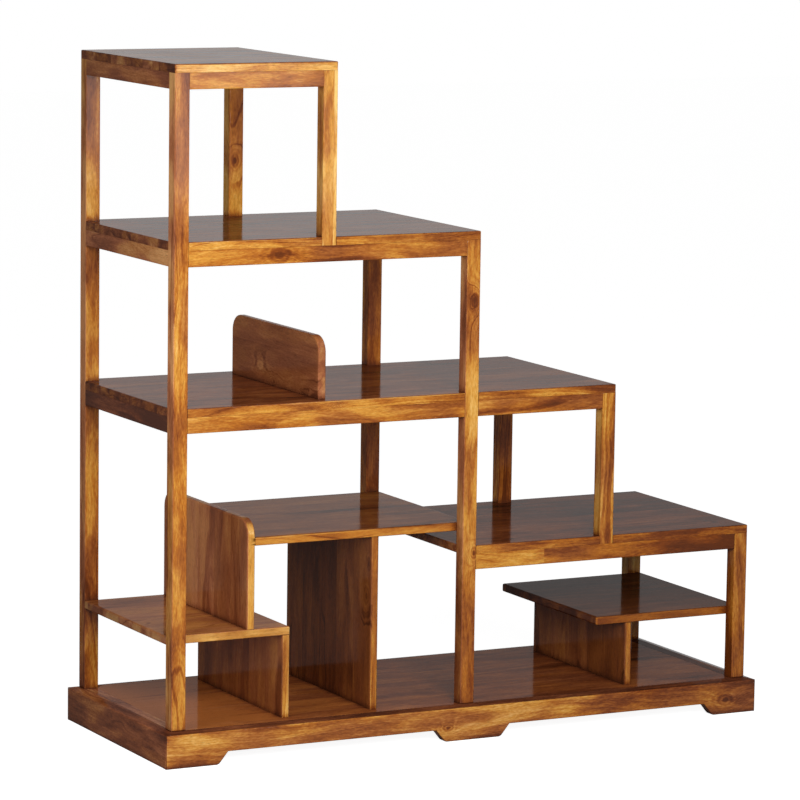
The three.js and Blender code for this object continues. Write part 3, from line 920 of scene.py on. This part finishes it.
def lacquered(tree, colour, grain, own, pores, side_shine):
    """The surface of fibres and pores in a colour, under lacquer unless it has no shine."""
    fibres = tree.minus(tree.noise(own, FIBRES, 2, ROUGH), pores)
    bump = {"Strength": FIBRE_STRENGTH, "Distance": FIBRE_HEIGHT, "Height": fibres}
    inputs = {
        "Base Color": colour,
        "Roughness": WOOD_ROUGHNESS,
        "Specular IOR Level": 0.0,
        "Normal": tree.add("Bump", bump).outputs[0],
    }
    if side_shine > 0:
        smudge = tree.noise(grain, SMUDGES, 3)
        inputs["Coat Weight"] = lacquer_weight(tree, side_shine)
        inputs["Coat Roughness"] = tree.spread(smudge, *NOISE_RANGE, *LACQUER_ROUGHNESS)
        inputs["Coat IOR"] = LACQUER_INDEX
    return tree.add("BsdfPrincipled", inputs).outputs[0]


def wood(name, palette, edge_palette, edge_pale, edge_clear, stave_width, figure, side_shine):
    """Wood whose figure is cut out of a solid trunk, stave by stave, under lacquer."""
    tree = new_material(name)
    grain = tree.stored_vector("grain")
    luck, across, glue = stave_luck(tree, grain, stave_width)
    tone = tree.split(luck)[2]
    apart = tree.vector("MULTIPLY", luck, Vector((TRUNKS_APART, TRUNKS_APART, TRUNKS_APART)))
    own = tree.vector("ADD", grain, apart)
    bent = swayed(tree, own)
    radius = trunk_radius(tree, own, across, tree.split(grain)[2], luck)
    radius, knot_dark = knots(tree, own, radius)
    ends, edge = end_and_edge(tree)
    mottle = tree.spread(tree.noise(bent, MOTTLES), *MOTTLE_RANGE)
    # Painted shade with some staining darkens and reddens inner corners
    stain_and_shade = stain_and_shade_in_corners(tree)
    # The stored tone and russet are partly the pieces' own colour and partly painted shade and light
    shade = tree.plus(
        tree.times(figure_shade(tree, own, bent, radius), figure),
        weighed(tree, MIDDLE_SHADE, [(tone, STAVE_SPREAD)]),
        tree.stored("tone"),
        vein_shade(tree, own, radius),
        tree.times(glue, GLUE_DARK),
        tree.times(knot_dark, figure),
        stain_and_shade,
        tree.times(ends, tree.times(tree.minus(tone, 0.5), END_GRAIN_SPREAD)),
        tree.times(tree.minus(mottle, 0.5), MOTTLE_DARK * figure),
    )
    shade = tree.math("MINIMUM", shade, DARKEST)
    russet = tree.plus(
        tree.times(tree.stored("russet"), tree.minus(1.0, tree.times(edge, edge_clear))),
        tree.times(mottle, MOTTLE_RED),
        tree.times(ends, END_GRAIN_RED),
        stain_and_shade,
    )
    russet = tree.math("MINIMUM", russet, 1.0)
    colour = wood_colour(tree, shade, russet, edge, palette, edge_palette, edge_pale)
    pores = tree.spread(tree.noise(own, PORES, 1), *PORE_RANGE)
    light = tree.minus(1.0, tree.times(pores, PORE_DARK))
    light = tree.times(light, tree.minus(1.0, tree.times(ends, END_GRAIN_DIM)))
    colour = tree.brighten(colour, light)
    return tree.finish(lacquered(tree, colour, grain, own, pores, side_shine))


def zinc():
    """The plating of the screws."""
    tree = new_material("steel")
    place = tree.add("TexCoord").outputs["Object"]
    patches = tree.noise(place, ZINC_PATCHES, 3, ROUGH)
    colour = tree.ramp(patches, list(zip(NOISE_RANGE, ZINC_GREYS)))
    roughness = tree.spread(patches, *NOISE_RANGE, *ZINC_ROUGHNESS)
    inputs = {"Base Color": colour, "Metallic": 1.0, "Roughness": roughness}
    return tree.finish(tree.add("BsdfPrincipled", inputs).outputs[0])


# Kinds of wood: palette, palette of the edges, how much paler the edges are (darker below zero),
# how little of the piece's own redness they take on, width of the staves, strength of the figure,
# and shine from the side. A piece that isn't glued is a single stave, wider than it.
ONE_STAVE = 1.0
WOODS = {
    "frame_wood": (AMBER, AMBER, 0.08, 0.6, ONE_STAVE, 0.85, SIDE_SHINE),
    # Painted shade: the plinth's edges, such as the tops of its skirts and the slopes of its feet,
    # are darker than its faces
    "plinth_wood": (AMBER, RUSSET, -0.34, 0.6, ONE_STAVE, 1.0, DULL_SIDE_SHINE),
    "board_wood": (DARK, AMBER, 0.06, 1.0, STAVE_WIDTH, 0.95, DULL_SIDE_SHINE),
    "inner_wood": (BROWN, AMBER, 0.12, 1.0, STAVE_WIDTH, 0.55, DULL_SIDE_SHINE),
    "block_wood": (RAW, RAW, 0.0, 0.6, ONE_STAVE, 1.0, 0.0),
}
materials = {name: wood(name, *looks) for name, looks in WOODS.items()}
materials["steel"] = zinc()


# Pieces

def dress(name, slot):
    """Remakes a wooden piece with eased edges and grain, and gives a screw its look in place."""
    if name not in blocks:
        node = frame["nodes"][name]
        node.data.materials.clear()
        node.data.materials.append(materials[slot])
        return
    piece = eased(name, INNER_EASE if slot == "inner_wood" else EASE)
    add_wood_coordinates(piece, name)
    piece.data.materials.clear()
    piece.data.materials.append(materials[slot])
    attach(piece, "root")
    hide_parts(name)


for entry in frame["record"]["subparts"]:
    dress(entry["node"], entry["material_slot"])


# Room

# How much the floor glows where it is looked at, and how much the room lights the object
FLOOR_SIZE = 30.0
FLOOR_GLOW = 0.93
AMBIENT = 0.13
WHITE = (1.0, 1.0, 1.0, 1.0)
FLOOR_GREY = (0.5, 0.5, 0.5, 1.0)


def looked_at(tree):
    """One for what the camera sees, straight, mirrored or through something clear, and nothing
    for what lights the object."""
    path = tree.add("LightPath").outputs
    seen = tree.math("MAXIMUM", path["Is Camera Ray"], path["Is Glossy Ray"])
    return tree.math("MAXIMUM", seen, path["Is Transmission Ray"])


def pale_floor():
    """A floor that shows the shadow and glows enough, where it is looked at, to meet the white
    behind it."""
    tree = new_material("floor")
    plain = tree.add("BsdfDiffuse", {"Color": FLOOR_GREY}).outputs[0]
    strength = tree.times(looked_at(tree), FLOOR_GLOW)
    glow = tree.add("Emission", {"Color": WHITE, "Strength": strength}).outputs[0]
    return tree.finish(tree.add("AddShader", {0: plain, 1: glow}).outputs[0])


def add_floor():
    bpy.ops.mesh.primitive_plane_add(size=FLOOR_SIZE, location=(0, 0, 0))
    floor = bpy.context.object
    floor.name = "floor"
    floor.data.materials.append(pale_floor())
    floor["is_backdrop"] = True


def add_world():
    """A white room that lights the object only faintly."""
    tree = Tree(bpy.data.worlds.new("studio"))
    ambient = tree.add("Background", {"Color": WHITE, "Strength": AMBIENT}).outputs[0]
    white = tree.add("Background", {"Color": WHITE, "Strength": 1.0}).outputs[0]
    choice = tree.add("MixShader", {0: looked_at(tree), 1: ambient, 2: white}).outputs[0]
    tree.add("OutputWorld", {0: choice})
    bpy.context.scene.world = tree.owner


def add_soft_light(name, place, aim, size, power):
    """A rectangular light that faces its aim, with its power in watts."""
    light = bpy.data.lights.new(name, "AREA")
    light.shape = "RECTANGLE"
    light.size, light.size_y = size
    light.energy = power
    lamp = bpy.data.objects.new(name, light)
    lamp.location = place
    lamp.rotation_euler = (Vector(aim) - Vector(place)).to_track_quat("-Z", "Y").to_euler()
    bpy.context.scene.collection.objects.link(lamp)


# The camera that fits the straight edges in the photograph. Angles are in radians, and the focus
# is in pixels of the photograph, which is this wide.
CAMERA_YAW = 0.47558
CAMERA_PITCH = 0.14247
CAMERA_ROLL = 0.01401
CAMERA_DISTANCE = 7.571
CAMERA_TARGET = Vector((-0.0379, 0.00065, 0.5795))
CAMERA_FOCUS_PIXELS = 4226.9
PHOTO_PIXELS = 800
SENSOR_WIDTH = 36.0
FAR_CLIP = 100


def add_camera():
    """A camera that looks at its target, turned about the upright, tipped down and rolled."""
    back = Vector((
        -math.sin(CAMERA_YAW) * math.cos(CAMERA_PITCH),
        -math.cos(CAMERA_YAW) * math.cos(CAMERA_PITCH),
        math.sin(CAMERA_PITCH),
    ))
    right = (-back).cross(Vector((0, 0, 1))).normalized()
    up = right.cross(-back)
    turned_right = right * math.cos(CAMERA_ROLL) + up * math.sin(CAMERA_ROLL)
    turned_up = up * math.cos(CAMERA_ROLL) - right * math.sin(CAMERA_ROLL)
    data = bpy.data.cameras.new("camera")
    data.sensor_width = SENSOR_WIDTH
    data.lens = CAMERA_FOCUS_PIXELS * SENSOR_WIDTH / PHOTO_PIXELS
    data.clip_end = FAR_CLIP
    camera = bpy.data.objects.new("camera", data)
    bpy.context.scene.collection.objects.link(camera)
    place = Matrix((turned_right, turned_up, back)).transposed().to_4x4()
    place.translation = CAMERA_TARGET + back * CAMERA_DISTANCE
    camera.matrix_world = place
    bpy.context.scene.camera = camera


add_floor()
add_world()
add_soft_light("key", (-0.8, -2.5, 1.4), aim=(-0.35, 0, 0.6), size=(1.1, 1.1), power=53)
add_soft_light("side", (-1.2, -0.45, 0.75), aim=(-0.55, 0, 0.65), size=(0.5, 1.2), power=3)
add_soft_light("sheen", (0.5, -2.4, 1.05), aim=(-0.4, 0, 1.0), size=(0.5, 0.65), power=10)
add_camera()
bpy.context.scene.view_settings.view_transform = "Standard"

boxes = {"cad": cad_box, "visual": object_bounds()}
{name: [list(corner) for corner in box] for name, box in boxes.items()}
